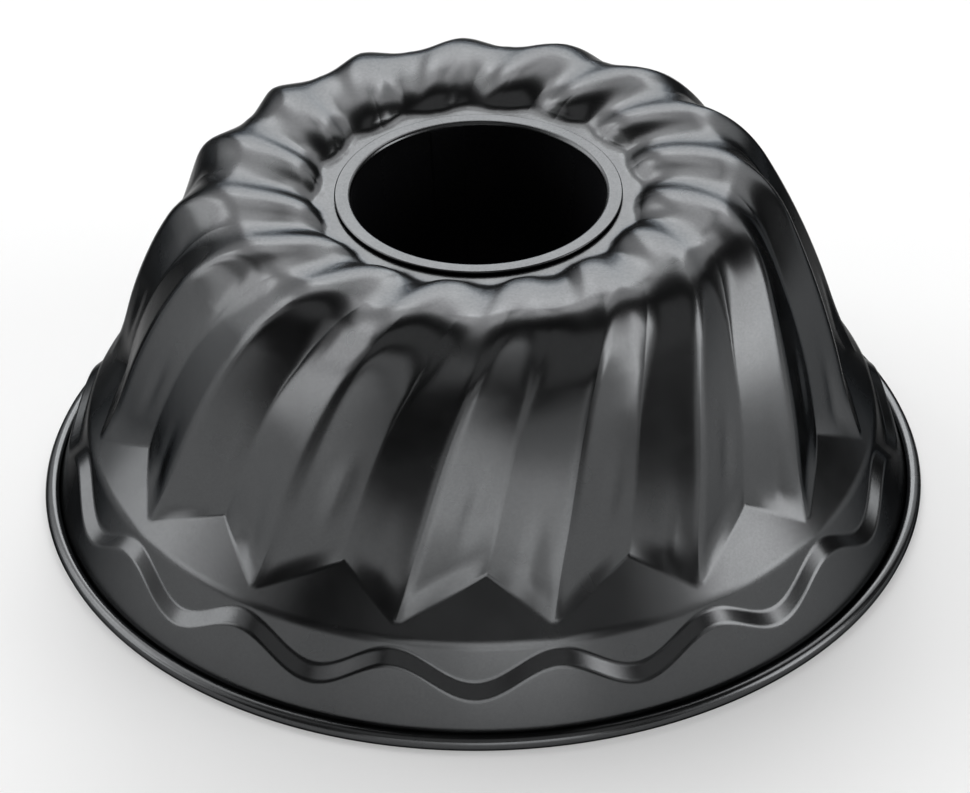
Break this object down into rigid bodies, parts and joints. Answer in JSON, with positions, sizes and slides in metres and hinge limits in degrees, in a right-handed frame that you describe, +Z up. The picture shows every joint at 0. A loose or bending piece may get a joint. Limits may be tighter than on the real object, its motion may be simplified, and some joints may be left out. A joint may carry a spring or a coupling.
{
  "type": "fluted tube pan",
  "caption": "Round fluted tube pan for ring cakes: swirled sheet-steel mould with zigzag foot, wavy stepped skirt and rolled rim, round a tapered centre tube.",
  "frame": {"origin": "centre of the plane the rolled rim rests on, mouth down", "axes": "+Z up along the tube's axis towards the crown; -Y is the side the picture is taken from"},
  "size_m": [0.24, 0.24, 0.1],
  "materials": {
    "mould_coating": "satin charcoal non-stick coating on deep-drawn steel sheet",
    "tube_coating": "satin charcoal non-stick coating on rolled steel sheet"
  },
  "bodies": {
    "root": {"fluted_mould": "mould_coating", "centre_tube": "tube_coating"}
  },
  "joints": []
}
